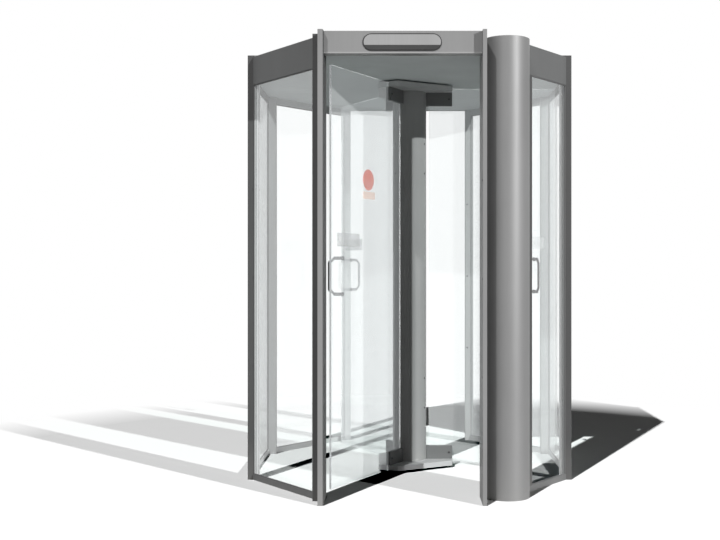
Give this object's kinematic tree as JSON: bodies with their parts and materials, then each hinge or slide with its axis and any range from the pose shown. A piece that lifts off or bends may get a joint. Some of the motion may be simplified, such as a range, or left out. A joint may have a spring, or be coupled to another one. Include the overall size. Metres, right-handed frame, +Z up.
{
  "type": "revolving door",
  "caption": "Security revolving door: a three-leaf glass rotor in an eight-sided glazed enclosure with a round column at one front corner.",
  "frame": {"origin": "on the floor, on the rotor's axis, at the underside of the floor pivot", "axes": "+Z up along the rotor's axis, -Y out of the front opening, +X towards the side of the round column"},
  "size_m": [1.756, 2.029, 2.3],
  "materials": {
    "side_glass": "clear polished float glass",
    "leaf_glass": "clear toughened glass",
    "handle_black": "satin dark grey",
    "dark_steel": "satin grey",
    "rotor_aluminium": "satin anodised",
    "pivot_steel": "machined",
    "ceiling_panel": "matt light grey",
    "cover_sheet": "matt grey",
    "nameplate_metal": "satin",
    "front_aluminium": "satin anodised",
    "post_aluminium": "satin anodised, darker",
    "rear_aluminium": "satin anodised, pale",
    "frame_aluminium": "satin anodised"
  },
  "bodies": {
    "enclosure": {"ceiling": "ceiling_panel", "ceiling_pivot": "pivot_steel", "column_stile": "frame_aluminium", "fin_left": "front_aluminium", "fin_right": "front_aluminium", "floor_pivot": "pivot_steel", "glass_front_left": "side_glass", "glass_front_right": "side_glass", "glass_left": "side_glass", "glass_rear_left": "side_glass", "glass_rear_right": "side_glass", "glass_right": "side_glass", "header_front": "front_aluminium", "header_front_left": "frame_aluminium", "header_front_right": "frame_aluminium", "header_left": "frame_aluminium", "header_rear": "rear_aluminium", "header_rear_left": "rear_aluminium", "header_rear_right": "rear_aluminium", "header_right": "frame_aluminium", "nameplate": "nameplate_metal", "post_front_left": "post_aluminium", "post_left": "post_aluminium", "post_left_rear": "rear_aluminium", "post_rear_left": "rear_aluminium", "post_rear_right": "rear_aluminium", "post_right": "post_aluminium", "post_right_rear": "rear_aluminium", "rail_front_left": "frame_aluminium", "rail_front_right": "frame_aluminium", "rail_left": "rear_aluminium", "rail_rear_left": "rear_aluminium", "rail_rear_right": "rear_aluminium", "rail_right": "rear_aluminium", "round_column": "front_aluminium", "top_cover": "cover_sheet"},
    "rotor": {"clamps_1": "dark_steel", "clamps_2": "dark_steel", "clamps_3": "dark_steel", "handle_1": "handle_black", "handle_2": "handle_black", "handle_3": "handle_black", "hub_plate_lower": "dark_steel", "hub_plate_upper": "dark_steel", "leaf_glass_1": "leaf_glass", "leaf_glass_2": "leaf_glass", "leaf_glass_3": "leaf_glass", "rotor_core": "rotor_aluminium"}
  },
  "joints": [
    {"name": "rotor_spin", "type": "hinge", "parent": "enclosure", "child": "rotor", "pos_m": [0, 0, 0], "axis": [0, 0, 1], "continuous": true}
  ]
}
